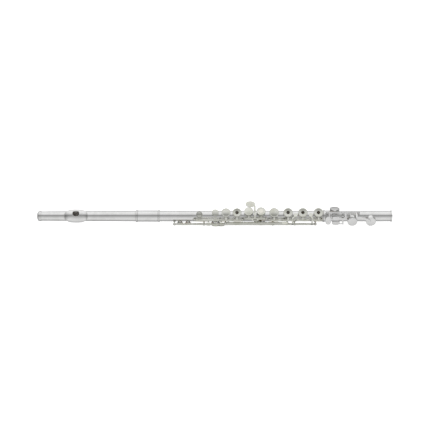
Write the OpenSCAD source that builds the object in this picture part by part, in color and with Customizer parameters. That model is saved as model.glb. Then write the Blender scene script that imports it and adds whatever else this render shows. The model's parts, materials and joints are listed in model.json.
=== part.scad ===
// Concert flute with a C foot, open-hole cups and offset G keys, built as separate pieces.
// Lengths are millimetres. X runs along the tube: the open end of the foot is at x = 0 and the
// crown is on -X. +Z is up and the player is on the -Y side.
// d is a distance along the tube from the blow hole, growing towards the foot.
// psi is an angle round the tube, 0 straight up and growing towards the player.

/* [Tube] */
// Blow hole centre to the open end of the foot
foot_end = 595; // [592:1:598]
// Blow hole centre to the end of the crown
crown_end = 73.5; // [73:0.5:75]
// Outside radius of the body tube
tube_r = 9.9; // [9.88:0.01:9.92]
// Bore radius of the body and foot
bore_r = 9.5; // [9.45:0.05:9.55]

/* [Lip plate] */
// Length of the lip plate along the tube
lip_length = 43; // [41:1:44]
// Width of the lip plate across the tube
lip_width = 25; // [24:0.5:25.5]
// Blow hole length along the tube
blow_length = 12; // [11.6:0.2:12.4]
// Blow hole width across the tube
blow_width = 10.2; // [9.8:0.2:10.6]

/* [Tone holes] */
// Length of the air column for the lowest note, which sets every hole's place
air_column = 657; // [656.5:0.5:657.5]
// Tone hole rim height above the tube's axis
rim_height = 12.3; // [12.2:0.05:12.4]
// Right-hand tone hole radius
right_hole_r = 7.3; // [7.1:0.1:7.4]
// Left-hand tone hole radius
left_hole_r = 6.8; // [6.6:0.1:6.9]

/* [Keys] */
// Pad thickness
pad_thick = 2.4; // [2.2:0.1:2.5]
// Turn of a finger key between open and closed, in degrees
key_turn = 8.5; // [7.5:0.5:9]
// Radial clearance between a key tube and its steel
key_clearance = 0.05; // [0.03:0.01:0.08]

/* [Hidden] */
$fn = 64;
seam = 0.01;
slide_gap = 0.03;
seat_gap = 0.04;

// Tone hole series: one semitone per step, shortened by a constant end correction
end_correction = 66;
function hole_d(semitones) = air_column * pow(2, -semitones / 12) - end_correction;

// Angles of the hole rows
g_psi = -10;
g_sharp_psi = 150;
thumb_psi = 142;
trill_psi = 125;
c_vent_psi = 15;
d_foot_psi = -43;
c_foot_psi = 70;
touch_psi = 58;

small_hole_r = 3.6;
foot_hole_r = 7.6;

// Each hole is [d, psi, radius]
c_foot_hole = [hole_d(1), c_foot_psi, foot_hole_r];
c_sharp_foot_hole = [hole_d(2), c_foot_psi, foot_hole_r];
d_sharp_foot_hole = [hole_d(3), d_foot_psi, foot_hole_r];
d_hole = [hole_d(4), 0, right_hole_r];
e_hole = [hole_d(5), 0, right_hole_r];
f_hole = [hole_d(6), 0, right_hole_r];
f_sharp_hole = [hole_d(7), 0, right_hole_r];
low_g_hole = [hole_d(8), g_psi, left_hole_r];
g_sharp_hole = [hole_d(8), g_sharp_psi, left_hole_r];
high_g_hole = [hole_d(9), g_psi, left_hole_r];
a_hole = [hole_d(10), 0, left_hole_r];
b_flat_hole = [hole_d(11), 0, left_hole_r];
thumb_hole = [hole_d(12), thumb_psi, left_hole_r];
c_vent_hole = [232, c_vent_psi, small_hole_r];
d_trill_hole = [210.5, trill_psi, small_hole_r];
d_sharp_trill_hole = [195.5, trill_psi, small_hole_r];
body_holes = [d_hole, e_hole, f_hole, f_sharp_hole, low_g_hole, g_sharp_hole, high_g_hole,
              a_hole, b_flat_hole, thumb_hole, c_vent_hole, d_trill_hole, d_sharp_trill_hole];
foot_holes = [d_sharp_foot_hole, c_sharp_foot_hole, c_foot_hole];

// Hinge lines are [y, z]. The G and thumb keys use the main line turned by g_psi or thumb_psi.
main_line = [-13.6, 10.6];
side_line = [-16.2, 4.35];
trill_line = [-16.5, -0.9];
foot_line = [-0.5, 15.6];
spring_line = [-14.1, 6.6];

// Key tubes and steels
steel_r = 1.05;
key_bore = steel_r + key_clearance;
key_tube_r = 1.9;
pinned_bore = steel_r + seam;
post_bore = steel_r + 0.02;
sleeve_bore = key_tube_r + 0.05;
foot_turn = 8;

// Where the roller's pin sits in the foot touches' frame
roller_y = -2.9;
roller_z = 15.4;

// Ribs and posts
rib_thick = 0.8;
rib_r = tube_r + seam + rib_thick;
ball_r = 2.5;
post_half = 1.6;

// Cups and pads
rim_roll = 0.35;
rim_wall = 0.4;
cup_wall = 0.45;
pad_show = 0.65;
pad_seat = rim_height + seat_gap;
cup_lip = pad_seat + pad_show;
cup_roof = pad_seat + pad_thick;
cup_top = cup_roof + 0.5;
dome_height = 0.8;
cup_border = 1.4;
right_cup_r = 9;
left_cup_r = 8.4;
small_cup_r = 6;
foot_cup_r = 9.4;
finger_hole_r = 3.3;

// Joints between the three tubes
head_tenon_end = 150;
barrel_start = 112.5;
barrel_end = 157;
body_start = head_tenon_end + 0.6;
tenon_start = 465;
tenon_end = 477.7;
socket_r = tube_r + slide_gap;
foot_start = 465.7;
foot_step = 478;

// Head joint
head_start = -66;
head_taper_end = 108;
head_bore_r0 = 8.25;
head_r0 = 8.8;
head_tenon_r = tube_r - 0.02;
blow_psi = 5;
plate_psi = 25;
lip_top_r = 14.1;
lip_wall = 0.5;
cork_d = -17.3;

// ---------- Placing and basic shapes ----------

// Moves along the tube to d
module at(d) {
    translate([d - foot_end, 0, 0]) children();
}

// Turns +Z round the tube to psi
module aim(psi) {
    rotate([psi, 0, 0]) children();
}

// Goes to a hole and points +Z out of it
module over(hole) {
    at(hole[0]) aim(hole[1]) children();
}

// Turns about a hinge line that runs along X
module swing(line, angle) {
    translate([0, line[0], line[1]]) rotate([angle, 0, 0]) translate([0, -line[0], -line[1]])
        children();
}

// A hinge line seen from a frame turned by psi
function seen_from(line, psi) =
    [line[0] * cos(psi) + line[1] * sin(psi), -line[0] * sin(psi) + line[1] * cos(psi)];

// A round bar along X on a hinge line
module bar(d0, d1, line, r) {
    at(d0) translate([0, line[0], line[1]]) rotate([0, 90, 0]) cylinder(r = r, h = d1 - d0);
}

module pipe(d0, d1, line, r, hole) {
    difference() {
        bar(d0, d1, line, r);
        bar(d0 - 1, d1 + 1, line, hole);
    }
}

// A ring round the tube's own axis
module ring(d0, d1, r, hole) {
    pipe(d0, d1, [0, 0], r, hole);
}

// A cone round the tube's own axis
module taper(d0, d1, r0, r1) {
    at(d0) rotate([0, 90, 0]) cylinder(r1 = r0, r2 = r1, h = d1 - d0);
}

// A strip bent round the tube from psi0 to psi1
module strap(d0, d1, psi0, psi1, r, thick) {
    at(d0) aim(psi0) rotate([0, 90, 0]) rotate([0, 0, 180])
        rotate_extrude(angle = psi1 - psi0) translate([r, 0]) square([thick, d1 - d0]);
}

// A side-view outline in Y and Z, given a width along X and centred on x = 0
module slab(width, outline) {
    translate([-width / 2, 0, 0]) rotate([90, 0, 90]) linear_extrude(width) polygon(outline);
}

// Half the side view of a shallow dome standing on z = 0, for turning round the Z axis
module cap_outline(r, height) {
    sphere_r = (r * r + height * height) / (2 * height);
    intersection() {
        translate([0, height - sphere_r]) circle(sphere_r, $fn = 720);
        square([r, 2 * height]);
    }
}

module dome(r, height) {
    rotate_extrude() cap_outline(r, height);
}

// A rounded oval outline: power 2 is an ellipse, larger is squarer
function oval(length, width, power) = [for (i = [0:47]) let (a = i * 7.5)
    [length / 2 * sign(cos(a)) * pow(abs(cos(a)), 2 / power),
     width / 2 * sign(sin(a)) * pow(abs(sin(a)), 2 / power)]];

// A box with rounded ends, its long axis along X
module rounded_box(length, width, corner_r) {
    for (x = [corner_r - length / 2, length / 2 - corner_r])
        for (y = [corner_r - width / 2, width / 2 - corner_r])
            translate([x, y]) circle(corner_r);
    square([length - 2 * corner_r, width], center = true);
    square([length, width - 2 * corner_r], center = true);
}

// ---------- Head joint ----------

module head_bore(d0, d1, gap) {
    slope = (bore_r - head_bore_r0) / (head_taper_end - head_start);
    taper(d0, d1, head_bore_r0 + slope * (d0 - head_start) - gap,
          head_bore_r0 + slope * (d1 - head_start) - gap);
}

module blow_hole(extra) {
    aim(blow_psi) linear_extrude(20)
        rounded_box(blow_length + 2 * extra, blow_width + 2 * extra, 4.4 + extra);
}

module head_tube() {
    color("silver") difference() {
        union() {
            taper(head_start, head_taper_end, head_r0, head_tenon_r);
            ring(head_taper_end, head_tenon_end, head_tenon_r, bore_r);
        }
        head_bore(head_start, head_taper_end, 0);
        at(0) blow_hole(0);
    }
}

// The plate's outer surface is turned round the tube, highest over the blow hole
function lip_r(s) = lip_top_r - 4.4 * pow(abs(s), 2.6);

module lip_body(shrink) {
    half = lip_length / 2 + 1;
    steps = 14;
    surface = [for (i = [-steps:steps]) [lip_r(i / steps) - shrink, half * i / steps]];
    rotate([0, 90, 0]) rotate_extrude() polygon(concat([[0, -half]], surface, [[0, half]]));
}

module lip_plate() {
    color("silver") at(0) difference() {
        intersection() {
            difference() {
                lip_body(0);
                lip_body(lip_wall);
            }
            aim(plate_psi) linear_extrude(20) polygon(oval(lip_length, lip_width, 2.5));
        }
        blow_hole(0);
        head_skin(seam);
    }
}

// The head tube's outside, grown by a gap, in the blow hole's frame
module head_skin(gap) {
    slope = (head_tenon_r - head_r0) / (head_taper_end - head_start);
    middle_r = head_r0 - slope * head_start + gap;
    reach = 30;
    translate([-reach, 0, 0]) rotate([0, 90, 0])
        cylinder(r1 = middle_r - slope * reach, r2 = middle_r + slope * reach, h = 2 * reach);
}

module riser() {
    color("silver") at(0) difference() {
        intersection() {
            blow_hole(0.9);
            lip_body(lip_wall + seam);
        }
        blow_hole(0);
        head_skin(seam);
    }
}

module crown() {
    crown_r = 9.3;
    edge_r = 3.6;
    shoulder = -crown_end + 0.4 + edge_r;
    color("silver") difference() {
        union() {
            ring(shoulder, head_start - 0.1, crown_r, 0.5);
            at(shoulder) rotate([0, 90, 0]) rotate_extrude()
                translate([crown_r - edge_r, 0]) circle(edge_r);
            ring(-crown_end + 0.4, shoulder, crown_r - edge_r, 0.5);
            at(-crown_end + 0.4) rotate([0, -90, 0]) dome(crown_r - edge_r, 0.4);
            ring(head_start - 1, -58, 7.9, 0.5);
            ring(-69.2, -68.4, crown_r + 0.15, 0.5);
        }
        bar(-72.4, -50, [0, 0], 1.5 + slide_gap);
    }
}

module stopper_screw() {
    color("gray") bar(-65, cork_d - 0.2, [0, 0], 1.5);
}

module stopper_cork() {
    color("tan") difference() {
        head_bore(cork_d - 13, cork_d - 1.3, slide_gap);
        bar(-50, 0, [0, 0], 1.5 + seam);
    }
}

// Two metal plates that clamp the cork, and the nut behind them
module stopper_plates() {
    color("silver") {
        difference() {
            head_bore(cork_d - 1.3 + seam, cork_d, 0.15);
            bar(-50, cork_d - 0.2 + seam, [0, 0], 1.5 + seam);
        }
        difference() {
            head_bore(cork_d - 14, cork_d - 13 - seam, 0.15);
            bar(-50, 0, [0, 0], 1.5 + seam);
        }
        difference() {
            at(cork_d - 17) rotate([0, 90, 0]) cylinder(r = 3.4, h = 3 - seam, $fn = 6);
            bar(-50, 0, [0, 0], 1.5 + seam);
        }
    }
}

// ---------- Body ----------

// A drawn tone hole chimney with a rolled rim
module chimney(hole) {
    over(hole) {
        cylinder(r = hole[2] + rim_wall, h = rim_height - rim_roll);
        translate([0, 0, rim_height - rim_roll]) rotate_extrude()
            translate([hole[2] + rim_wall - 0.02, 0]) circle(rim_roll);
    }
}

module tube_with_holes(d0, d1, r, holes) {
    difference() {
        union() {
            bar(d0, d1, [0, 0], r);
            for (hole = holes) chimney(hole);
        }
        bar(d0 - 1, d1 + 1, [0, 0], bore_r);
        for (hole = holes) over(hole) cylinder(r = hole[2], h = 2 * rim_height);
    }
}

module barrel() {
    ring_r = socket_r + 1.2;
    color("silver") {
        difference() {
            union() {
                bar(barrel_start, barrel_end, [0, 0], socket_r + 0.55);
                bar(barrel_start, barrel_start + 1.8, [0, 0], ring_r);
                bar(barrel_end - 1.8, barrel_end, [0, 0], ring_r);
                for (d = [barrel_start + 3, barrel_end - 3])
                    at(d) rotate([0, 90, 0]) rotate_extrude()
                        translate([socket_r + 0.5, 0]) circle(0.4);
            }
            bar(barrel_start - 1, barrel_end + 1, [0, 0], socket_r);
        }
    }
}

module body_tube() {
    color("silver") tube_with_holes(body_start, tenon_end, tube_r, body_holes);
}

module tenon_ring() {
    color("silver") ring(tenon_start - 1.6, tenon_start, tube_r + 0.8, tube_r + seam);
}

module rib(d0, d1, psi0, psi1) {
    strap(d0, d1, psi0, psi1, tube_r + seam, rib_thick);
}

// Strips and small plates that carry the posts
module body_ribs() {
    color("silver") {
        rib(220, 316, 57, 67.5);
        rib(360.6, 463.2, 57, 67.5);
        aim(g_psi) rib(315, 360, 54, 64);
        for (d = [281, 397]) rib(d - 2.6, d + 2.6, 70.5, 81);
        for (d = [185, 240.7, 370, 411, 450]) rib(d - 2.8, d + 2.8, 86, 99);
        aim(thumb_psi) for (d = [238, 286]) rib(d - 3, d + 3, 57, 67.5);
    }
}

// A drilled ball on a slanting shank that stands on a rib at base_psi
module post(d, line, base_psi, surface_r, hole, size) {
    base = [-surface_r * sin(base_psi), surface_r * cos(base_psi)];
    lean = atan2(base[0] - line[0], line[1] - base[1]);
    length = norm(line - base);
    at(d) difference() {
        union() {
            translate([0, line[0], line[1]]) rotate([0, 90, 0]) rotate_extrude()
                intersection() {
                    circle(size);
                    translate([0, -post_half]) square([2 * size, 2 * post_half]);
                }
            translate([0, base[0], base[1]]) rotate([lean, 0, 0]) {
                translate([0, 0, -1]) cylinder(r = 1.25, h = length + 1);
                translate([0, 0, -1]) cylinder(r1 = 2.1, r2 = 1.7, h = 1.9);
            }
        }
        rotate([0, 90, 0]) cylinder(r = surface_r, h = 20, center = true);
        translate([0, line[0], line[1]]) rotate([0, 90, 0])
            cylinder(r = hole, h = 20, center = true);
    }
}

module main_post(d) {
    post(d, main_line, 62, rib_r + seam, post_bore, ball_r);
}

module body_posts() {
    color("silver") {
        for (d = [223.6, 271, 313, 363.2, 462]) main_post(d);
        aim(g_psi) for (d = [317.8, 357.6]) post(d, main_line, 59, rib_r + seam, post_bore, 2.4);
        aim(thumb_psi) for (d = [238, 286]) main_post(d);
        for (d = [281, 397]) post(d, side_line, 75.5, rib_r + seam, post_bore, 2.4);
        for (d = [185, 411, 450]) post(d, trill_line, 92.5, rib_r + seam, post_bore, 2.6);
        for (d = [240.7, 370]) post(d, trill_line, 92.5, rib_r + seam, sleeve_bore, 2.95);
    }
}

// Fixed steels that the keys turn on
module hinge_rods() {
    color("dimgray") {
        bar(221.6, 314.9, main_line, steel_r);
        aim(g_psi) bar(316, 359.4, main_line, steel_r);
        aim(thumb_psi) bar(236, 288, main_line, steel_r);
        bar(279.2, 398.8, side_line, steel_r);
    }
}

// Springs run beside the key tubes, from a post to near a catch on the key
module needle(d0, d1) {
    bar(d0, d1, spring_line, 0.25);
}

module needle_springs() {
    color("goldenrod") {
        needle(225.3, 247);
        needle(272.7, 283);
        needle(297, 311.3);
        needle(364.9, 380);
        needle(448, 460.3);
        aim(g_psi) needle(340, 355.9);
        aim(thumb_psi) needle(268, 284.3);
    }
}

// ---------- Keys ----------

// A shallow cup over a pad, with a domed back
module closed_cup(r) {
    rotate_extrude() difference() {
        union() {
            translate([0, cup_lip]) square([r, cup_top - cup_lip]);
            translate([0, cup_top - 0.05]) cap_outline(r - cup_border, dome_height);
        }
        square([r - cup_wall, cup_roof]);
    }
}

// A cup with a finger hole through a dished back
module open_cup(r) {
    dish_r = 60;
    rotate_extrude() difference() {
        union() {
            translate([0, cup_lip]) square([r, cup_top - cup_lip + 0.15]);
            translate([0, cup_top]) square([r - 0.5, 0.35]);
        }
        square([r - cup_wall, cup_roof]);
        square([finger_hole_r, 2 * cup_top]);
        translate([0, cup_top - 0.1 + dish_r]) circle(dish_r, $fn = 720);
    }
}

// Closed pads are discs; pads under finger holes are rings with a seat for the grommet
module disc_pad(r) {
    translate([0, 0, pad_seat]) cylinder(r = r - cup_wall - seam, h = pad_thick - seam);
}

module ring_pad(r) {
    difference() {
        disc_pad(r);
        cylinder(r = finger_hole_r + 0.3, h = 2 * cup_top);
        translate([0, 0, pad_seat - 1]) cylinder(r = 4.7, h = 1.4);
    }
}

// A flanged sleeve that holds a ring pad in its cup
module grommet() {
    difference() {
        union() {
            translate([0, 0, pad_seat + 0.08]) cylinder(r = 4.6, h = 0.3);
            translate([0, 0, pad_seat + 0.08])
                cylinder(r = finger_hole_r + 0.25, h = pad_thick - 0.08 - seam);
        }
        cylinder(r = finger_hole_r - 0.3, h = 2 * cup_top);
    }
}

// A point on a curve that leaves a towards b and arrives at c
function bend(a, b, c, t) = a * pow(1 - t, 2) + b * 2 * t * (1 - t) + c * t * t;

// An arm that rises from a hinge line and ends as a tongue on a cup's border. It narrows from
// the hinge to its tip. The hinge is in the cup's frame.
module arm(hinge, edge, width) {
    way = sign(hinge[0]);
    from = [abs(hinge[0]), hinge[1]];
    to = [edge + 0.15, cup_top - 0.55];
    step = (to - from) / norm(to - from);
    across = [-step[1], step[0]];
    tip = edge - 2.3;
    root = from - 1.3 * across;
    outer = [for (i = [0:5]) bend(root, to - 1.4 * across, [edge - 0.4, cup_top + 0.6], i / 5)];
    inner = [[tip + 0.3, cup_top + 0.6], [tip, cup_top + 0.35], [tip, cup_top - 0.3],
             [edge - 0.25, cup_top - 0.4], to + 0.7 * across, from + 1.1 * across];
    reach = from[0] + 4;
    intersection() {
        slab(2 * width, [for (p = concat(outer, inner)) [way * p[0], p[1]]]);
        linear_extrude(3 * cup_top)
            polygon([[-0.28 * width, way * tip], [0.28 * width, way * tip],
                     [0.5 * width, way * edge], [0.68 * width, way * reach],
                     [-0.68 * width, way * reach], [-0.5 * width, way * edge]]);
    }
}

// Cut from a steep arm so it ends in the cup's wall and clears the pad
module pad_room(r) {
    cylinder(r = r - cup_wall / 2, h = cup_roof + 0.2);
}

// A key tube with its bore, and whatever else the key carries
module key(d0, d1, line, hole) {
    difference() {
        union() {
            bar(d0, d1, line, key_tube_r);
            children();
        }
        bar(d0 - 1, d1 + 1, line, hole);
    }
}

// A catch under the key tube for its spring
module catch(d) {
    at(d) translate([0, main_line[0] + 0.3, main_line[1]]) rotate([180, 0, 0])
        cylinder(r = 0.5, h = 4.3);
}

// A clutch tab standing on a key tube; offset is across the tube
module tab(d0, d1, offset) {
    at(d0) translate([0, main_line[0] + offset - 0.5, main_line[1] + 1.2])
        cube([d1 - d0, 1, 2.2]);
}

// A clutch foot that reaches from one key over the next key's tube
module reach_tab(d0, d1) {
    at(d0) translate([0, main_line[0] - 0.5, main_line[1] + 2.05]) cube([d1 - d0, 1, 1.35]);
}

module opened() {
    swing(main_line, key_turn) children();
}

module finger_arm(hole, cup_r) {
    at(hole[0]) arm(main_line, cup_r, 3);
}

module c_key() {
    color("silver") opened() key(225.6, 269, main_line, key_bore) {
        over(c_vent_hole) {
            closed_cup(small_cup_r);
            arm(seen_from(main_line, c_vent_psi), small_cup_r, 2.4);
        }
        at(262) {
            translate([0, 0, cup_top - 0.5]) cylinder(r = 6.3, h = 1);
            translate([0, 0, cup_top + 0.5]) dome(6.3, 0.5);
            arm(main_line, 6.3, 3);
        }
        catch(246);
    }
}

module c_pad() {
    color("antiquewhite") opened() over(c_vent_hole) disc_pad(small_cup_r);
}

module thumb_touch(length, width, middle) {
    translate([0, middle, cup_top - 0.4]) linear_extrude(1.3) polygon(oval(length, width, 2.6));
    slab(3, [[-13.6, 9.5], [-14.6, 11.4], [-6, 16.2], [-2, 16.2], [-2, 14.9], [-6, 14.6],
             [-12.2, 10.2]]);
}

module thumb_key() {
    color("silver") aim(thumb_psi) opened() key(254.8, 284, main_line, key_bore) {
        at(thumb_hole[0]) closed_cup(left_cup_r);
        at(thumb_hole[0]) arm(main_line, left_cup_r, 3);
        at(273) thumb_touch(13, 11, 1.5);
        catch(269.2);
    }
}

module thumb_pad() {
    color("antiquewhite") aim(thumb_psi) opened() at(thumb_hole[0]) disc_pad(left_cup_r);
}

module thumb_flat_lever() {
    color("silver") aim(thumb_psi) opened() key(239.9, 254.5, main_line, key_bore) {
        at(249) thumb_touch(8.6, 8.4, 0.4);
    }
}

module b_flat_key() {
    color("silver") opened() key(273.2, 293, main_line, key_bore) {
        at(b_flat_hole[0]) closed_cup(left_cup_r);
        finger_arm(b_flat_hole, left_cup_r);
        tab(291, 292.6, 0);
        reach_tab(291, 295.8);
        catch(282);
        at(286.5) slab(3, [[-13.6, 8.9], [-14.6, 8.2], [-17, 9.2], [-17, 10.4], [-13.6, 12.2]]);
    }
}

module b_flat_pad() {
    color("antiquewhite") opened() at(b_flat_hole[0]) disc_pad(left_cup_r);
}

module a_key() {
    color("silver") opened() key(293.3, 311, main_line, key_bore) {
        at(a_hole[0]) open_cup(left_cup_r);
        finger_arm(a_hole, left_cup_r);
        tab(294, 295.6, -1.2);
        catch(298);
    }
}

module a_pad() {
    color("antiquewhite") opened() at(a_hole[0]) ring_pad(left_cup_r);
}

module a_grommet() {
    color("silver") opened() at(a_hole[0]) grommet();
}

// Two cups on one pair of tubes, joined past the G sharp tube by a bridge
module g_keys() {
    bridge = [main_line[0] - 3.4, main_line[1]];
    color("silver") aim(g_psi) opened() {
        key(319.8, 333.8, main_line, key_bore) {
            at(high_g_hole[0]) closed_cup(left_cup_r);
            finger_arm(high_g_hole, left_cup_r);
            at(331.6) translate([-1.5, bridge[0] - 0.7, bridge[1] - 0.8]) cube([3, 3.4, 1.6]);
        }
        bar(330.1, 343, bridge, 0.85);
        key(338.8, 355.6, main_line, key_bore) {
            at(low_g_hole[0]) open_cup(left_cup_r);
            finger_arm(low_g_hole, left_cup_r);
            at(341.5) translate([-1.5, bridge[0] - 0.7, bridge[1] - 0.8]) cube([3, 3.4, 1.6]);
            catch(341);
        }
    }
}

module g_pads() {
    color("antiquewhite") aim(g_psi) opened() {
        at(high_g_hole[0]) disc_pad(left_cup_r);
        at(low_g_hole[0]) ring_pad(left_cup_r);
    }
}

module g_grommet() {
    color("silver") aim(g_psi) opened() at(low_g_hole[0]) grommet();
}

// A push-in plug that closes the G key's finger hole
module g_plug() {
    plug_r = finger_hole_r - 0.3 - slide_gap;
    plug_cap_r = finger_hole_r + 0.9;
    plug_seat = cup_top + 0.07;
    color("ivory") aim(g_psi) opened() at(low_g_hole[0]) {
        translate([0, 0, pad_seat + 0.6]) cylinder(r = plug_r, h = plug_seat - pad_seat - 0.5);
        translate([0, 0, plug_seat]) cylinder(r = plug_cap_r, h = 0.35);
        translate([0, 0, plug_seat + 0.3]) dome(plug_cap_r - 0.1, 0.35);
    }
}

// The touch reaches over the tube and the cup arm runs under it, inside the other hinge lines
module g_sharp_key() {
    middle = 336.3;
    strap_r = tube_r + 1.15;
    strap_thick = 1.05;
    color("silver") {
        aim(g_psi) key(334.1, 338.5, main_line, key_bore)
            at(middle) slab(3.1, [[-13.7, 9.3], [-10.1, 5.1], [-8.7, 7.3], [-11.9, 11.4]]);
        difference() {
            at(middle) slab(3, [[-11.5, 11.6], [-12.2, 14.3], [-6, 15.2], [0, 15.4], [8, 16.4],
                                [14, 16.9], [14, 15.7], [8, 15], [0, 13.9], [-6, 13.6]]);
            aim(g_psi) bar(330, 342, main_line, key_bore);
        }
        at(328) translate([0, 16.9, 15.7]) linear_extrude(1.2) polygon(oval(18, 12, 2.2));
        strap(middle - 1.5, middle + 1.5, 41, 98, strap_r + 0.05, strap_thick);
        strap(middle - 1.4, 349.3, 93, 106, strap_r, strap_thick + 0.1);
        over(g_sharp_hole) {
            closed_cup(left_cup_r);
            difference() {
                arm([9.1, 7.6], left_cup_r, 3);
                pad_room(left_cup_r);
            }
        }
    }
}

module g_sharp_pad() {
    color("antiquewhite") over(g_sharp_hole) disc_pad(left_cup_r);
}

// The F sharp cup and two collars are all pinned to the lower rod
module f_sharp_key() {
    color("silver") opened() {
        key(365.1, 386, main_line, pinned_bore) {
            at(f_sharp_hole[0]) closed_cup(right_cup_r);
            finger_arm(f_sharp_hole, right_cup_r);
            tab(384, 385.6, 0);
            reach_tab(384, 388.8);
            catch(379);
        }
        key(409.3, 412, main_line, pinned_bore) {
            tab(409.6, 411.6, 0);
            reach_tab(409.6, 414.2);
        }
        key(437.3, 440, main_line, pinned_bore) {
            tab(437.6, 439.6, 0);
            reach_tab(437.6, 441.8);
        }
    }
}

module f_sharp_pad() {
    color("antiquewhite") opened() at(f_sharp_hole[0]) disc_pad(right_cup_r);
}

module lower_rod() {
    color("dimgray") bar(361.2, 464, main_line, steel_r);
}

module f_key() {
    color("silver") opened() key(386.3, 409, main_line, key_bore) {
        at(f_hole[0]) open_cup(right_cup_r);
        finger_arm(f_hole, right_cup_r);
        tab(387, 388.6, -1.2);
    }
}

module f_pad() {
    color("antiquewhite") opened() at(f_hole[0]) ring_pad(right_cup_r);
}

module f_grommet() {
    color("silver") opened() at(f_hole[0]) grommet();
}

module e_key() {
    color("silver") opened() key(412.3, 437, main_line, key_bore) {
        at(e_hole[0]) open_cup(right_cup_r);
        finger_arm(e_hole, right_cup_r);
        tab(412.6, 414, -1.9);
    }
}

module e_pad() {
    color("antiquewhite") opened() at(e_hole[0]) ring_pad(right_cup_r);
}

module e_grommet() {
    color("silver") opened() at(e_hole[0]) grommet();
}

module d_key() {
    color("silver") opened() key(440.3, 460.1, main_line, key_bore) {
        at(d_hole[0]) open_cup(right_cup_r);
        finger_arm(d_hole, right_cup_r);
        tab(440.6, 442, -1.9);
        catch(449);
    }
}

module d_pad() {
    color("antiquewhite") opened() at(d_hole[0]) ring_pad(right_cup_r);
}

module d_grommet() {
    color("silver") opened() at(d_hole[0]) grommet();
}

// The long side lever: a touch by the right hand, and a tip under the B flat key
module side_lever() {
    color("silver") key(282.9, 395.1, side_line, key_bore) {
        at(286.5) slab(2.6, [[-17.2, 4.4], [-17.6, 6.6], [-16.4, 7.2], [-15, 4.4]]);
        at(392) translate([0, -18.7, 8.3]) linear_extrude(1.1) polygon(oval(12.5, 5, 2.3));
        at(392) slab(3, [[-16.8, 4.4], [-19, 6.2], [-19.4, 8.6], [-17.6, 8.6], [-17.3, 6.6],
                         [-15.4, 4.4]]);
    }
}

// A trill touch: a curved arm outside the main hinge line, ending in a round plate
module trill_touch(arm_d, plate_d) {
    at(arm_d) slab(2.8, [[-18, -0.9], [-19.6, 4], [-20.2, 9], [-19.2, 13.4], [-16.5, 16.3],
                         [-13, 16.9], [-11.6, 16.9], [-11.6, 15.6], [-13.2, 15.5], [-15.8, 14.7],
                         [-17.9, 12.3], [-18.6, 9], [-18, 4.2], [-16.5, 0.5]]);
    at(plate_d) translate([0, 0, 15.6]) linear_extrude(1.3) {
        translate([0, -5.6]) circle(3.7);
        polygon([[arm_d - plate_d - 1.4, -12.4], [arm_d - plate_d + 1.4, -12.4], [1.6, -7],
                 [-1.6, -7]]);
    }
}

module trill_cup() {
    closed_cup(small_cup_r);
    arm(seen_from(trill_line, trill_psi), small_cup_r, 2.6);
}

module d_trill_key() {
    color("silver") key(203, 408.9, trill_line, key_bore) {
        over(d_trill_hole) trill_cup();
        trill_touch(407, 412.6);
    }
}

module d_trill_pad() {
    color("antiquewhite") over(d_trill_hole) disc_pad(small_cup_r);
}

// Two short tubes pinned to the ends of the trill rod
module d_sharp_trill_key() {
    color("silver") {
        key(187, 202.7, trill_line, pinned_bore) over(d_sharp_trill_hole) trill_cup();
        key(413, 448.1, trill_line, pinned_bore) trill_touch(443.4, 441);
    }
}

module d_sharp_trill_pad() {
    color("antiquewhite") over(d_sharp_trill_hole) disc_pad(small_cup_r);
}

module trill_rod() {
    color("dimgray") bar(182.8, 452.2, trill_line, steel_r);
}

// ---------- Foot joint ----------

module foot_tube() {
    color("silver") difference() {
        union() {
            tube_with_holes(foot_step, foot_end, tube_r, foot_holes);
            ring(foot_start, foot_step + 0.8, socket_r + 0.55, bore_r);
        }
        bar(foot_start - 1, foot_step, [0, 0], socket_r);
    }
}

// A bead round each end of the foot
module foot_rings() {
    color("silver") {
        ring(foot_start, foot_start + 1.8, socket_r + 1.3, socket_r + 0.55 + seam);
        ring(foot_end - 3, foot_end, tube_r + 0.7, tube_r + seam);
    }
}

// Two posts on their own small plates: one on the socket, one on the tube
module foot_posts() {
    plate_r = socket_r + 0.55 + seam;
    color("silver") {
        strap(469.2, 474.8, -6, 10, plate_r, rib_thick);
        post(472, foot_line, 2, plate_r + rib_thick + seam, post_bore, ball_r);
        rib(527.8, 533.4, -6, 10);
        post(530.6, foot_line, 2, rib_r + seam, post_bore, ball_r);
    }
}

module foot_rod() {
    color("dimgray") foot_opened() bar(470, 532.6, foot_line, steel_r);
}

module foot_opened() {
    swing(foot_line, -foot_turn) children();
}

// A bar in the touch frame from the hinge line up to a touch plate
module touch_arm(width) {
    hinge = seen_from(foot_line, touch_psi);
    slab(width, [[hinge[0] + 0.8, hinge[1] + 0.9], [7.4, 16.4], [4, 16.5], [4, 15.3], [6.6, 15.2],
                 [hinge[0] - 1.2, hinge[1] - 0.6]]);
}

module d_sharp_foot_key() {
    color("silver") key(473.9, 498.7, foot_line, key_bore) {
        over(d_sharp_foot_hole) {
            closed_cup(foot_cup_r);
            difference() {
                arm(seen_from(foot_line, d_foot_psi), foot_cup_r, 3);
                pad_room(foot_cup_r);
            }
        }
        aim(touch_psi) {
            at(475.8) touch_arm(3);
            at(474) translate([0, 0, 15.3]) linear_extrude(1.2)
                polygon(oval(10.4, 17, 3));
        }
    }
}

module d_sharp_foot_pad() {
    color("antiquewhite") over(d_sharp_foot_hole) disc_pad(foot_cup_r);
}

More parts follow.
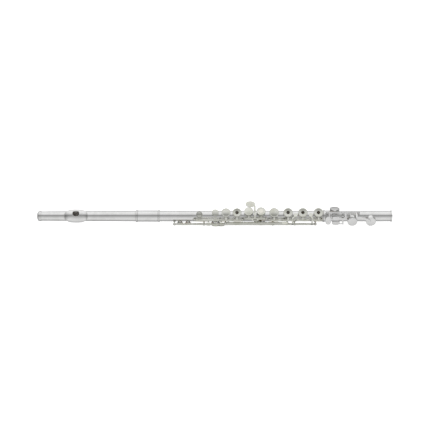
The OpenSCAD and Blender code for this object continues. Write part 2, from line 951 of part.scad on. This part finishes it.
module c_sharp_foot_key() {
    color("silver") foot_opened() key(504.3, 516.7, foot_line, key_bore) {
        over(c_sharp_foot_hole) {
            closed_cup(foot_cup_r);
            difference() {
                translate([-4.2, 0, 0])
                    arm(seen_from(foot_line, c_foot_psi), foot_cup_r - 1, 2.3);
                pad_room(foot_cup_r);
            }
        }
        aim(touch_psi) {
            at(506.4) touch_arm(3);
            at(494) translate([0, 2.8, 15.3]) cube([13.9, 2.4, 1.2]);
            at(488.3) translate([0, 4.5, 15.3]) linear_extrude(1.2) polygon(oval(13.8, 7.8, 3));
        }
    }
}

module c_sharp_foot_pad() {
    color("antiquewhite") foot_opened() over(c_sharp_foot_hole) disc_pad(foot_cup_r);
}

// The touch half and the cup half are both pinned to the foot rod
module c_foot_key() {
    crescent = concat([[21.2, -5.6], [0, -5.6]],
                      [for (a = [15:15:150]) [7.1 - 7.1 * cos(a), -5.6 - 3.8 * sin(a)]],
                      [[21.2, -7.5]]);
    hinge = seen_from(foot_line, touch_psi);
    cup_hinge = seen_from(foot_line, c_foot_psi);
    color("silver") foot_opened() {
        key(499, 504, foot_line, pinned_bore) {
            aim(touch_psi) {
                at(501.4) slab(2.8, [[hinge[0] + 0.8, hinge[1] + 1], [7.6, 13.2], [-2, 13.4],
                                     [-5, 16.5], [-8, 16.5], [-8, 15.3], [-6, 15.1], [-2.8, 11.9],
                                     [7.2, 11.7], [hinge[0] - 1.2, hinge[1] - 0.9]]);
                at(480.9) translate([0, 0, 15.2]) linear_extrude(1.2) polygon(crescent);
                for (d = [481, 494.3]) at(d) translate([0, -6, 14.4]) cube([1.2, 4.5, 1.9]);
                at(481.5) translate([0, roller_y, roller_z]) rotate([0, 90, 0])
                    cylinder(r = 0.6, h = 13.3);
            }
        }
        key(517, 528.7, foot_line, pinned_bore) {
            at(527) aim(c_foot_psi)
                slab(3, [[cup_hinge[0] + 1, cup_hinge[1] + 0.4], [12.4, 16.4], [8.6, 16.4],
                         [8.8, 15.1], [cup_hinge[0] - 1.2, cup_hinge[1] - 0.2]]);
            aim(c_foot_psi) at(525.7) translate([0, 0, 15]) linear_extrude(1.3)
                polygon([[0, 11.8], [3.1, 11.8], [26, 6.6], [28, 1.5], [22, 3], [0, 9]]);
            over(c_foot_hole) closed_cup(foot_cup_r);
        }
    }
}

module c_foot_pad() {
    color("antiquewhite") foot_opened() over(c_foot_hole) disc_pad(foot_cup_r);
}

module c_roller() {
    color("silver") foot_opened() aim(touch_psi) at(482.4) translate([0, roller_y, roller_z])
        rotate([0, 90, 0]) difference() {
            union() {
                translate([0, 0, 0.6]) cylinder(r = 1.8, h = 10.6);
                cylinder(r = 1.4, h = 11.8);
            }
            translate([0, 0, -1]) cylinder(r = 0.65, h = 14);
        }
}

head_tube();
riser();
lip_plate();
crown();
stopper_screw();
stopper_cork();
stopper_plates();
barrel();
body_tube();
tenon_ring();
body_ribs();
body_posts();
hinge_rods();
needle_springs();
c_key();
c_pad();
thumb_key();
thumb_pad();
thumb_flat_lever();
b_flat_key();
b_flat_pad();
a_key();
a_pad();
a_grommet();
g_keys();
g_pads();
g_grommet();
g_plug();
g_sharp_key();
g_sharp_pad();
f_sharp_key();
f_sharp_pad();
lower_rod();
f_key();
f_pad();
f_grommet();
e_key();
e_pad();
e_grommet();
d_key();
d_pad();
d_grommet();
side_lever();
d_trill_key();
d_trill_pad();
d_sharp_trill_key();
d_sharp_trill_pad();
trill_rod();
foot_tube();
foot_rings();
foot_posts();
foot_rod();
d_sharp_foot_key();
d_sharp_foot_pad();
c_sharp_foot_key();
c_sharp_foot_pad();
c_foot_key();
c_foot_pad();
c_roller();
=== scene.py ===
import json
import math

import bpy
import numpy as np
from mathutils import Matrix, Vector


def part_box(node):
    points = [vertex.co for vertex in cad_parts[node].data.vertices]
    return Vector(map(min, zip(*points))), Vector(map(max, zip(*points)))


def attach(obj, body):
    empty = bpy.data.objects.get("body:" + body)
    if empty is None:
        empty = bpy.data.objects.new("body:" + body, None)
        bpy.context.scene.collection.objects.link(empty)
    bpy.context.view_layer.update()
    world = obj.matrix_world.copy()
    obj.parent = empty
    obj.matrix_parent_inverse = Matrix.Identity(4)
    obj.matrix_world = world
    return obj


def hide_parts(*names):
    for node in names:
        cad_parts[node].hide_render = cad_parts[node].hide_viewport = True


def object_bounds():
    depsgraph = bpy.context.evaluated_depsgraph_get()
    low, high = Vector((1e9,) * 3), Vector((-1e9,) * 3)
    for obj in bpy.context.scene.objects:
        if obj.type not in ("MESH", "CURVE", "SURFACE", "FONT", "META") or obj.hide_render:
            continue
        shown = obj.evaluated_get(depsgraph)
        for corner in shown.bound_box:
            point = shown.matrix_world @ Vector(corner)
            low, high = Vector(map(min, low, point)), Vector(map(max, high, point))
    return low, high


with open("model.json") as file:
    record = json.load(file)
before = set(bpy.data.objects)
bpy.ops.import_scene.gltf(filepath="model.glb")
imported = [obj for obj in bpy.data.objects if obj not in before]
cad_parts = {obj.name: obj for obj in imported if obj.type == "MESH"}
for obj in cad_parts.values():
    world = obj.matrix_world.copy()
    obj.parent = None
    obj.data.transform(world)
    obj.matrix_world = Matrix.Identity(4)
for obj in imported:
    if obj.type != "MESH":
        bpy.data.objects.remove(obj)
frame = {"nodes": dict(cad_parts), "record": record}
cad_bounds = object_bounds()

MM = 0.001
BODY_OF = {
    node: body
    for body, nodes in frame["record"]["behaviour"]["bodies"].items()
    for node in nodes
}


# ---------- Shader helpers ----------


def new_material(name):
    """An empty node material and a function that adds a node to it with given inputs."""
    material = bpy.data.materials.new(name)
    material.use_nodes = True
    material.node_tree.nodes.clear()
    return material, node_maker(material.node_tree)


def node_maker(tree):
    """Returns add(kind, inputs, **settings); inputs map a socket to a value or to another socket."""

    def add(kind, inputs=None, **settings):
        node = tree.nodes.new(kind)
        for key, value in settings.items():
            setattr(node, key, value)
        for key, value in (inputs or {}).items():
            if isinstance(value, bpy.types.NodeSocket):
                tree.links.new(value, node.inputs[key])
            else:
                node.inputs[key].default_value = value
        return node

    return add


def math_node(add, operation, a, b=0.0):
    return add("ShaderNodeMath", {0: a, 1: b}, operation=operation).outputs[0]


def noise(add, vector, scale, detail, stretch=(1, 1, 1)):
    """Noise between about 0.3 and 0.7, drawn out along any axis whose stretch is small."""
    drawn_out = add("ShaderNodeMapping", {"Vector": vector, "Scale": stretch}).outputs[0]
    inputs = {"Vector": drawn_out, "Scale": scale, "Detail": detail}
    return add("ShaderNodeTexNoise", inputs).outputs[0]


def spread(add, value, low, high, out_low, out_high):
    """Maps a value from one range to another, clamped."""
    node = add("ShaderNodeMapRange", {0: value, 1: low, 2: high, 3: out_low, 4: out_high})
    return node.outputs[0]


def mix_colour(add, factor, a, b):
    """Colour a where factor is 0 and colour b where it is 1."""
    node = add("ShaderNodeMix", {0: factor, 6: a, 7: b}, data_type="RGBA")
    return node.outputs[2]


def colour(r, g, b):
    return (r, g, b, 1.0)


def object_place(add):
    return add("ShaderNodeTexCoord").outputs["Object"]


def add_surface(add, inputs):
    """Ends a material with one principled shader."""
    surface = add("ShaderNodeBsdfPrincipled", inputs).outputs[0]
    add("ShaderNodeOutputMaterial", {"Surface": surface})


# ---------- Materials ----------

# How far apart two faces still get painted shade between them
CREVICE_SHADE_REACH = 2.6 * MM
# The rounding that the shader gives to every sharp edge of the silver
EDGE_ROUNDING = 0.28 * MM
# Painted shade: the dark brown that faces with other faces close by are darkened towards
PAINTED_CREVICE_SHADE = colour(0.16, 0.14, 0.10)
BORE_TARNISH = colour(0.80, 0.78, 0.74)


def facing_inwards(add, place):
    """1 on surfaces that face the tube's axis, which are the walls of the bore."""
    across = add("ShaderNodeVectorMath", {0: place, 1: (0, 1, 1)}, operation="MULTIPLY").outputs[0]
    outward = add("ShaderNodeVectorMath", {0: across}, operation="NORMALIZE").outputs[0]
    normal = add("ShaderNodeNewGeometry").outputs["Normal"]
    local = add(
        "ShaderNodeVectorTransform", {0: normal}, vector_type="NORMAL", convert_from="WORLD",
        convert_to="OBJECT",
    ).outputs[0]
    dot = add("ShaderNodeVectorMath", {0: outward, 1: local}, operation="DOT_PRODUCT").outputs[1]
    return math_node(add, "LESS_THAN", dot, -0.5)


def silver_material(name, clean, worn, roughness, dull_bore=False):
    """Polished silver plate: fine lines along the tube, faint tarnish, and painted shade and a rougher skin
    where pieces meet.

    A dull bore gives the walls that face the tube's axis an unpolished, tarnished skin.
    """
    material, add = new_material(name)
    place = object_place(add)
    clouds = noise(add, place, 70, 4)
    lines = noise(add, place, 900, 2, (0.06, 1, 1))
    specks = noise(add, place, 2600, 2)
    shade = mix_colour(add, spread(add, clouds, 0.42, 0.68, 0, 0.55), clean, worn)
    # Painted shade: faces with other faces close by are darkened, and also made rougher
    open_air = add("ShaderNodeAmbientOcclusion", {"Distance": CREVICE_SHADE_REACH}, samples=6).outputs["AO"]
    crevice_shade_mask = spread(add, open_air, 0.2, 0.85, 0.9, 0)
    shade = mix_colour(add, crevice_shade_mask, shade, PAINTED_CREVICE_SHADE)
    rough = spread(add, lines, 0.3, 0.7, roughness - 0.035, roughness + 0.055)
    rough = math_node(add, "ADD", rough, spread(add, specks, 0.6, 0.8, 0, 0.12))
    rough = math_node(add, "ADD", rough, math_node(add, "MULTIPLY", crevice_shade_mask, 0.25))
    polish = 1.0
    if dull_bore:
        inside = facing_inwards(add, place)
        polish = math_node(add, "SUBTRACT", 1.0, math_node(add, "MULTIPLY", inside, 0.7))
        shade = mix_colour(add, inside, shade, BORE_TARNISH)
        rough = math_node(add, "ADD", rough, math_node(add, "MULTIPLY", inside, 0.55))
    soft_edges = add("ShaderNodeBevel", {"Radius": EDGE_ROUNDING}, samples=6).outputs[0]
    relief = math_node(add, "ADD", lines, math_node(add, "MULTIPLY", specks, 0.5))
    bump = add(
        "ShaderNodeBump",
        {"Strength": 0.05, "Distance": 0.02 * MM, "Height": relief, "Normal": soft_edges},
    ).outputs[0]
    add_surface(
        add, {"Base Color": shade, "Metallic": polish, "Roughness": rough, "Normal": bump}
    )
    return material


def steel_material():
    """Ground steel rod: rings round the axis and a bluish grey."""
    material, add = new_material("ground_steel")
    place = object_place(add)
    rings = noise(add, place, 3000, 2, (1, 0.05, 0.05))
    stain = noise(add, place, 160, 3)
    shade = mix_colour(add, stain, colour(0.42, 0.42, 0.42), colour(0.58, 0.58, 0.57))
    rough = spread(add, rings, 0.3, 0.7, 0.2, 0.42)
    add_surface(add, {"Base Color": shade, "Metallic": 1.0, "Roughness": rough})
    return material


def spring_material():
    """Drawn gold-coloured spring wire."""
    material, add = new_material("spring_wire")
    place = object_place(add)
    drawn = noise(add, place, 2500, 2, (0.05, 1, 1))
    shade = mix_colour(add, drawn, colour(0.52, 0.38, 0.17), colour(0.78, 0.62, 0.34))
    rough = spread(add, drawn, 0.3, 0.7, 0.25, 0.4)
    add_surface(add, {"Base Color": shade, "Metallic": 1.0, "Roughness": rough})
    return material


def pad_material():
    """Felt under a thin translucent skin, with faint creases and a few darker stains."""
    material, add = new_material("pad_skin")
    place = object_place(add)
    creases = noise(add, place, 1500, 5)
    stain = noise(add, place, 260, 3)
    shade = mix_colour(add, creases, colour(0.66, 0.60, 0.48), colour(0.86, 0.82, 0.71))
    shade = mix_colour(add, spread(add, stain, 0.5, 0.75, 0, 0.5), shade, colour(0.42, 0.33, 0.24))
    bump = add(
        "ShaderNodeBump", {"Strength": 0.4, "Distance": 0.06 * MM, "Height": creases}
    ).outputs[0]
    skin = {
        "Base Color": shade,
        "Roughness": spread(add, creases, 0.35, 0.65, 0.42, 0.6),
        "Subsurface Weight": 0.15,
        "Subsurface Scale": 0.4 * MM,
        "Normal": bump,
    }
    add_surface(add, skin)
    return material


def cork_material():
    """Cork: packed grains with dark pores."""
    material, add = new_material("cork_grain")
    place = object_place(add)
    grains = add(
        "ShaderNodeTexVoronoi", {"Vector": place, "Scale": 900}, feature="DISTANCE_TO_EDGE"
    ).outputs[0]
    pores = noise(add, place, 500, 4)
    shade = mix_colour(
        add, spread(add, grains, 0.0, 0.12, 0, 1), colour(0.28, 0.16, 0.08), colour(0.62, 0.43, 0.27)
    )
    shade = mix_colour(add, spread(add, pores, 0.58, 0.66, 0, 0.8), shade, colour(0.20, 0.11, 0.06))
    bump = add(
        "ShaderNodeBump", {"Strength": 0.6, "Distance": 0.1 * MM, "Height": grains}
    ).outputs[0]
    add_surface(add, {"Base Color": shade, "Roughness": 0.8, "Normal": bump})
    return material


def plug_material():
    """Cream finger-hole plug with a satin skin."""
    material, add = new_material("plug_satin")
    place = object_place(add)
    cloud = noise(add, place, 500, 3)
    shade = mix_colour(add, cloud, colour(0.80, 0.77, 0.68), colour(0.90, 0.88, 0.81))
    rough = spread(add, cloud, 0.3, 0.7, 0.25, 0.4)
    add_surface(add, {"Base Color": shade, "Roughness": rough})
    return material


MATERIALS = {
    "tube_silver": silver_material(
        "tube_silver", colour(0.90, 0.90, 0.895), colour(0.78, 0.78, 0.765), 0.13, True
    ),
    # Painted shade and painted reflection: the keys' silver is darker and more olive than the tube's, for
    # the shade and olive reflections that the keys show
    "key_silver": silver_material(
        "key_silver", colour(0.83, 0.835, 0.775), colour(0.64, 0.645, 0.535), 0.115
    ),
    "foot_key_silver": silver_material(
        "foot_key_silver", colour(0.88, 0.88, 0.875), colour(0.74, 0.74, 0.725), 0.12
    ),
    "steel": steel_material(),
    "spring": spring_material(),
    "pad": pad_material(),
    "cork": cork_material(),
    "plug": plug_material(),
}


def dress(obj, slot):
    obj.data.materials.clear()
    obj.data.materials.append(MATERIALS[slot])


for part in frame["record"]["subparts"]:
    dress(frame["nodes"][part["node"]], part["material_slot"])
for node in ("d_sharp_foot_key", "c_sharp_foot_key", "c_foot_key", "c_roller", "foot_posts"):
    dress(frame["nodes"][node], "foot_key_silver")


# ---------- Reading the frame ----------


def corner_points(node):
    """A CAD node's corners, one row each."""
    mesh = frame["nodes"][node].data
    points = np.empty(len(mesh.vertices) * 3, np.float32)
    mesh.vertices.foreach_get("co", points)
    return points.reshape(-1, 3).astype(float)


def solids(node):
    """The separate solids of a CAD node, each as rows of corner points."""
    points = corner_points(node)
    same = np.unique(np.round(points, 6), axis=0, return_inverse=True)[1].ravel()
    edges = np.array([same[list(e.vertices)] for e in frame["nodes"][node].data.edges])
    label = np.arange(same.max() + 1)
    # Joined corners pass on the lowest label until none changes.
    while True:
        lowest = np.minimum(label[edges[:, 0]], label[edges[:, 1]])
        before = label.copy()
        np.minimum.at(label, edges[:, 0], lowest)
        np.minimum.at(label, edges[:, 1], lowest)
        if (label == before).all():
            break
    owner = label[same]
    return [points[owner == one] for one in np.unique(owner)]


def disc_place(node, points):
    """A pad's place: the centre of its underside, the way out from the tube, radius, thickness and hole."""
    low, high = points[:, 0].min(), points[:, 0].max()
    faces = frame["nodes"][node].data.polygons
    flat = max((f for f in faces if low <= f.center.x <= high), key=lambda f: f.area)
    way = np.array(flat.normal)
    middle = (points.min(0) + points.max(0)) / 2
    if way[1:] @ middle[1:] < 0:
        way = -way
    heights = points @ way
    side = np.array(Vector(way).orthogonal().normalized())
    other = np.cross(way, side)
    centre = way * heights.min()
    for axis in (side, other):
        spread_out = points @ axis
        centre = centre + axis * (spread_out.min() + spread_out.max()) / 2
    reach = points - centre
    reach = np.linalg.norm(reach - np.outer(reach @ way, way), axis=1)
    # A closed disc has corners on its outer edge only.
    hole = reach.min() if reach.min() < 0.9 * reach.max() else 0
    return Vector(centre), Vector(way), reach.max(), np.ptp(heights), hole


# ---------- Mesh helpers ----------

TURN_STEPS = 64


def placed(centre, way):
    """A matrix that puts the origin at centre and points +Z along way."""
    return Matrix.Translation(centre) @ way.to_track_quat("Z", "Y").to_matrix().to_4x4()


def add_turned(shape, outline, place):
    """Adds a form turned round +Z from a closed loop of (radius, height); a radius of 0 is a pole."""
    vertices, faces = shape
    rings = []
    for radius, height in outline:
        count = TURN_STEPS if radius > 0 else 1
        rings.append([len(vertices) + i for i in range(count)])
        for i in range(count):
            angle = 2 * math.pi * i / TURN_STEPS
            corner = Vector((radius * math.cos(angle), radius * math.sin(angle), height))
            vertices.append(place @ corner)
    for ring, after in zip(rings, rings[1:] + rings[:1]):
        if len(ring) == 1 and len(after) == 1:
            continue
        for i in range(TURN_STEPS):
            j = (i + 1) % TURN_STEPS
            near = [ring[i % len(ring)], ring[j % len(ring)]]
            far = [after[j % len(after)], after[i % len(after)]]
            faces.append(list(dict.fromkeys(near + far)))


def add_prism(shape, outline, low, high, place):
    """Adds a flat outline of (x, y) points, raised from low to high."""
    vertices, faces = shape
    start = len(vertices)
    count = len(outline)
    for height in (low, high):
        vertices.extend(place @ Vector((x, y, height)) for x, y in outline)
    faces.append([start + i for i in reversed(range(count))])
    faces.append([start + count + i for i in range(count)])
    for i in range(count):
        j = (i + 1) % count
        faces.append([start + i, start + j, start + count + j, start + count + i])


def make_piece(name, shape, slot, body, smooth=True):
    """A piece from gathered vertices and faces, dressed, and riding on its body."""
    mesh = bpy.data.meshes.new(name)
    mesh.from_pydata([tuple(v) for v in shape[0]], [], shape[1])
    mesh.validate()
    if smooth:
        mesh.shade_smooth()
    piece = bpy.data.objects.new(name, mesh)
    bpy.context.scene.collection.objects.link(piece)
    dress(piece, slot)
    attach(piece, body)
    return piece


def soften(piece, width):
    """Rounds a piece's sharp edges."""
    bevel = piece.modifiers.new("soft_edges", "BEVEL")
    bevel.width = width
    bevel.segments = 2
    bevel.limit_method = "ANGLE"


# ---------- Pads and cork ----------

LARGE_PAD = 7 * MM


def pad_outline(radius, thick, hole):
    """Half of a pad's section: a rolled edge, the ring that the rim has pressed, and a crowned middle."""
    seat = radius * (0.9 if radius > LARGE_PAD else 0.72)
    edge = 0.75 * MM
    back = thick - 0.1 * MM
    outer = [
        (radius - 0.2 * MM, back), (radius, back - 0.25 * MM), (radius, edge),
        (radius - 0.07 * edge, 0.62 * edge), (radius - 0.29 * edge, 0.29 * edge),
        (radius - 0.62 * edge, 0.07 * edge),
    ]
    pressed = [
        (seat + 0.5 * MM, 0.0), (seat + 0.25 * MM, 0.05 * MM), (seat, 0.09 * MM),
        (seat - 0.25 * MM, 0.05 * MM), (seat - 0.6 * MM, -0.04 * MM),
    ]
    if hole:
        step = hole + 1.1 * MM
        inner = [
            (step + 0.5 * MM, -0.03 * MM), (step + 0.12 * MM, 0.04 * MM), (step, 0.2 * MM),
            (step, 0.44 * MM), (hole, 0.46 * MM), (hole, back),
        ]
    else:
        inner = [
            (seat * 0.75, -0.12 * MM), (seat * 0.5, -0.18 * MM), (seat * 0.25, -0.21 * MM),
            (0, -0.22 * MM), (0, back),
        ]
    return outer + pressed + inner


def make_pads(node):
    """Pads in the places of a CAD node's plain discs."""
    shape = ([], [])
    for points in solids(node):
        centre, way, radius, thick, hole = disc_place(node, points)
        add_turned(shape, pad_outline(radius, thick, hole), placed(centre, way))
    piece = make_piece(node + "_skin", shape, "pad", BODY_OF[node])
    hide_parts(node)


def make_cork():
    """The stopper's cork: a little barrelled, with worn corners and a hole for the screw."""
    low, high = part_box("stopper_cork")
    length = high.x - low.x
    radius = (high.z - low.z) / 2
    hole = 1.52 * MM
    corner = 0.5 * MM
    face = radius - corner - 0.3 * MM
    shoulder = radius - 0.32 * MM
    outline = [(hole, 0), (face, 0), (shoulder, corner)]
    for i in range(1, 8):
        along = i / 8
        bulge = 0.22 * MM * math.sin(math.pi * along)
        outline.append((radius - 0.25 * MM + bulge, corner + (length - 2 * corner) * along))
    outline += [(shoulder, length - corner), (face, length), (hole, length)]
    shape = ([], [])
    add_turned(shape, outline, placed(Vector((low.x, 0, 0)), Vector((1, 0, 0))))
    piece = make_piece("stopper_cork_grain", shape, "cork", BODY_OF["stopper_cork"])
    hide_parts("stopper_cork")


# ---------- Lip plate ----------

# psi is an angle round the tube, 0 straight up and growing towards the player.
PLATE_PSI = math.radians(25)
BLOW_PSI = math.radians(5)
PLATE_TOP = 14.1 * MM
PLATE_FALL = 4.4 * MM
FALL_POWER = 2.6
PLATE_WIDTH = 24.2 * MM
PLATE_ROLL = 0.5 * MM
BLOW_LENGTH = 12 * MM
BLOW_WIDTH = 10.2 * MM
OVAL_POWER = 2.9
OVAL_POINTS = 96
SKIN_STEPS = 12

plate_low, plate_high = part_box("lip_plate")
plate_length = plate_high.x - plate_low.x
# The rolled edge stands out from the skin, so the skin is shorter at both ends.
skin_length = plate_length - 2 * PLATE_ROLL


def oval_point(length, width, turn):
    """A point of a squared oval; turn is the share of the way round."""
    c = math.cos(2 * math.pi * turn)
    s = math.sin(2 * math.pi * turn)
    x = length / 2 * math.copysign(abs(c) ** (2 / OVAL_POWER), c)
    y = width / 2 * math.copysign(abs(s) ** (2 / OVAL_POWER), s)
    return x, y


def around(make):
    """One point for each share of the way round."""
    return [make(i / OVAL_POINTS) for i in range(OVAL_POINTS)]


def swell(x):
    """The plate's distance from the tube's axis, falling away towards its ends."""
    half = plate_length / 2 + 1 * MM
    return PLATE_TOP - PLATE_FALL * abs(x / half) ** FALL_POWER


def skin_point(x, y, rise=0.0):
    """A point on the plate's skin, raised or sunk by rise, with the plate's middle straight up."""
    radius = swell(x) + rise
    across = y * radius / swell(x)
    return Vector((x, across, math.sqrt(max(radius**2 - across**2, 0))))


def hole_ring(grow, rise):
    """A ring round the blow hole, which sits turned from the plate's middle."""
    c = math.cos(BLOW_PSI - PLATE_PSI)
    s = math.sin(BLOW_PSI - PLATE_PSI)

    def point(turn):
        x, y = oval_point(BLOW_LENGTH + 2 * grow, BLOW_WIDTH + 2 * grow, turn)
        height = math.sqrt((swell(x) + rise) ** 2 - y**2)
        return Vector((x, y * c - height * s, y * s + height * c))

    return around(point)


def skin_rings(inner):
    """Rings from the blow hole's edge out to the plate's edge."""

    def ring(share):
        def point(turn):
            start = inner[round(turn * OVAL_POINTS)]
            x, y = oval_point(skin_length, PLATE_WIDTH, turn)
            return skin_point(start.x + (x - start.x) * share, start.y + (y - start.y) * share)

        return around(point)

    return [ring(step / SKIN_STEPS) for step in range(1, SKIN_STEPS + 1)]


def edge_ring(out, rise):
    """A ring of the rolled edge, out from the skin's edge and raised or sunk by rise."""

    def point(turn):
        x, y = oval_point(skin_length + 2 * out, PLATE_WIDTH + 2 * out, turn)
        return skin_point(x, y, rise)

    return around(point)


def add_tube_of_rings(shape, rings, place):
    """Joins rings of equal length into a skin."""
    count = len(rings[0])
    for ring in rings:
        shape[0].extend(place @ point for point in ring)
    for start in range(0, (len(rings) - 1) * count, count):
        for i in range(count):
            j = (i + 1) % count
            shape[1].append([start + i, start + j, start + count + j, start + count + i])


def make_lip_plate():
    """A swelled plate with a rolled outer edge and a rounded, undercut blow hole."""
    # Rings of the blow hole's wall and of the rolled edge, as (out, up) in mm
    wall = ((-0.15, -3.2), (-0.1, -1.2), (0.0, -0.55), (0.12, -0.2), (0.42, -0.02), (0.8, 0))
    rolled = ((0.3, -0.1), (0.45, -0.35), (0.45, -0.6), (0.25, -0.8), (-0.1, -0.85))
    rings = [hole_ring(out * MM, up * MM) for out, up in wall]
    rings += skin_rings(rings[-1])
    rings += [edge_ring(out * MM, up * MM) for out, up in rolled]
    # The underside, which stops where the tube hides it
    rings.append([skin_point(p.x * 0.75, p.y * 0.75, rolled[-1][1] * MM) for p in rings[-1]])
    middle = Matrix.Translation(((plate_low.x + plate_high.x) / 2, 0, 0))
    shape = ([], [])
    add_tube_of_rings(shape, rings, middle @ Matrix.Rotation(PLATE_PSI, 4, "X"))
    piece = make_piece("lip_plate_shell", shape, "tube_silver", BODY_OF["lip_plate"])
    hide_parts("lip_plate")


# ---------- Rod ends ----------

# Half the slot's width over the head's radius, and the head's radius over the rod's
SLOT_SHARE = 0.16
HEAD_GROW = 1.25
HEAD_TALL = 0.42 * MM
HEAD_EDGE = 0.06 * MM


def arc(radius, start, end, steps):
    """Points along a circle, from one angle to another."""
    angles = (start + (end - start) * i / steps for i in range(steps + 1))
    return [(radius * math.cos(angle), radius * math.sin(angle)) for angle in angles]


def add_slotted_head(shape, radius, tall, place):
    """A screw head with a slot across it, its underside at the origin."""
    lip = math.asin(SLOT_SHARE)
    for turn in (0, math.pi):
        add_prism(shape, arc(radius, lip + turn, math.pi - lip + turn, 16), 0, tall, place)
    floor = arc(0.98 * radius, 0, 2 * math.pi, 32)[:-1]
    add_prism(shape, floor, -0.05 * MM, 0.35 * tall, place)


def make_rod_ends(node):
    """Slotted heads on both ends of every rod of a CAD node."""
    shape = ([], [])
    for points in solids(node):
        low, high = points.min(0), points.max(0)
        middle = (low + high) / 2
        radius = (high[2] - low[2]) / 2 * HEAD_GROW
        for x, way in ((low[0], -1), (high[0], 1)):
            place = placed(Vector((x, middle[1], middle[2])), Vector((way, 0, 0)))
            add_slotted_head(shape, radius, HEAD_TALL, place)
    piece = make_piece(node + "_screws", shape, "steel", BODY_OF[node], smooth=False)
    soften(piece, HEAD_EDGE)


# ---------- Adjusting screws ----------

# From a hinge line to the top of the clutch feet on it
FOOT_TOP = 3.4 * MM
SCREW_RADIUS = 0.65 * MM
SCREW_TALL = 0.5 * MM


def hinge_of(body):
    """A point on the hinge that a body turns on, and the angle it is open by at rest."""
    joints = frame["record"]["behaviour"]["joints"]
    joint = next(joint for joint in joints if joint["child"] == body)
    return Vector(joint["pos_m"]), math.radians(joint["range_deg"][1])


def make_adjusting_screws(body, pushed_keys):
    """Slotted screws on a key's clutch feet, one over the start of each key that it meets."""
    hinge, opened = hinge_of(body)
    up = Vector((0, -math.sin(opened), math.cos(opened)))
    shape = ([], [])
    for key in pushed_keys:
        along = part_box(key)[0].x + 1 * MM
        foot = Vector((along, hinge.y, hinge.z)) + up * FOOT_TOP
        add_slotted_head(shape, SCREW_RADIUS, SCREW_TALL, placed(foot, up))
    piece = make_piece(body + "_adjusting_screws", shape, "steel", body, smooth=False)
    soften(piece, HEAD_EDGE)


for part in frame["record"]["subparts"]:
    if part["material_slot"] == "pad":
        make_pads(part["node"])
make_cork()
make_lip_plate()
for rod in ("hinge_rods", "lower_rod", "trill_rod", "foot_rod"):
    make_rod_ends(rod)
make_adjusting_screws("b_flat_key", ["a_key"])
make_adjusting_screws("f_sharp_key", ["f_key", "e_key", "d_key"])


# ---------- Camera ----------

# The picture looks down at 65 degrees with the tube level; TARGET is the middle of the view.
ELEVATION = math.radians(65)
UP = Vector((0, math.sin(ELEVATION), math.cos(ELEVATION)))
BACK = Vector((0, -math.cos(ELEVATION), math.sin(ELEVATION)))
TARGET = Vector((-333.6 * MM, 0, 0)) + UP * 1.9 * MM
DISTANCE = 3.04

camera_data = bpy.data.cameras.new("camera")
camera_data.lens = 135
camera_data.sensor_width = 36
camera = bpy.data.objects.new("camera", camera_data)
bpy.context.scene.collection.objects.link(camera)
camera.location = TARGET + BACK * DISTANCE
camera.rotation_euler = (math.radians(90) - ELEVATION, 0, 0)
bpy.context.scene.camera = camera


# ---------- Floor and light ----------

FLOOR_HALF = 3.0
FLOOR_DROP = 1.0 * MM
# The studio's brightness at each psi in degrees, all the way round the tube
BANDS = [
    (-180, 0.14), (-150, 0.20), (-118, 0.48), (-95, 0.70), (-72, 0.90), (-42, 0.88),
    (-22, 0.80), (-7, 0.67), (3, 0.42), (10, 0.30), (24, 0.33), (40, 0.50), (60, 0.66),
    (84, 0.78), (108, 0.72), (130, 0.60), (152, 0.36), (180, 0.16),
]


def floor_piece():
    """A plain pale floor just under the flute."""
    half = FLOOR_HALF
    low = cad_bounds[0][2] - FLOOR_DROP
    corners = [(-half, -half, low), (half, -half, low), (half, half, low), (-half, half, low)]
    mesh = bpy.data.meshes.new("floor")
    mesh.from_pydata(corners, [], [(0, 1, 2, 3)])
    floor = bpy.data.objects.new("floor", mesh)
    bpy.context.scene.collection.objects.link(floor)
    material, add = new_material("floor_paper")
    grain = noise(add, object_place(add), 400, 3)
    shade = mix_colour(add, grain, colour(0.93, 0.93, 0.93), colour(0.95, 0.95, 0.95))
    paper = add("ShaderNodeBsdfDiffuse", {"Color": shade}).outputs[0]
    glow = add("ShaderNodeEmission", {"Color": colour(1, 1, 1), "Strength": 0.62}).outputs[0]
    both = add("ShaderNodeAddShader", {0: paper, 1: glow}).outputs[0]
    add("ShaderNodeOutputMaterial", {"Surface": both})
    mesh.materials.append(material)
    floor.visible_glossy = False


def band_light(add, turn):
    """The bands' brightness at a share of the way round."""
    ramp = add("ShaderNodeValToRGB", {0: turn})
    elements = ramp.color_ramp.elements
    while len(elements) > 1:
        elements.remove(elements[-1])
    for i, (angle, light) in enumerate(BANDS):
        where = (angle + 180) / 360
        stop = elements[0] if i == 0 else elements.new(where)
        stop.position = where
        stop.color = colour(light, light, light)
    return ramp.outputs[0]


def studio_world():
    """Soft boxes as bands of brightness round the X axis, darker towards its two ends.

    The camera sees plain white, and matt surfaces are lit by an even near-white.
    """
    world = bpy.data.worlds.new("studio")
    bpy.context.scene.world = world
    world.use_nodes = True
    world.node_tree.nodes.clear()
    add = node_maker(world.node_tree)
    way = add("ShaderNodeTexCoord").outputs["Generated"]
    x, y, z = add("ShaderNodeSeparateXYZ", {0: way}).outputs
    psi = math_node(add, "ARCTAN2", math_node(add, "MULTIPLY", y, -1.0), z)
    turn = spread(add, psi, -math.pi, math.pi, 0, 1)
    ends = spread(add, math_node(add, "ABSOLUTE", x), 0.45, 0.9, 1.0, 0.3)
    studio = math_node(add, "MULTIPLY", band_light(add, turn), ends)
    path = add("ShaderNodeLightPath").outputs
    soft = mix_colour(add, path["Is Glossy Ray"], colour(0.92, 0.92, 0.92), studio)
    seen = mix_colour(add, path["Is Camera Ray"], soft, colour(1, 1, 1))
    background = add("ShaderNodeBackground", {"Color": seen, "Strength": 1.0}).outputs[0]
    add("ShaderNodeOutputWorld", {"Surface": background})


floor_piece()
studio_world()
bpy.context.scene.view_settings.view_transform = "Standard"
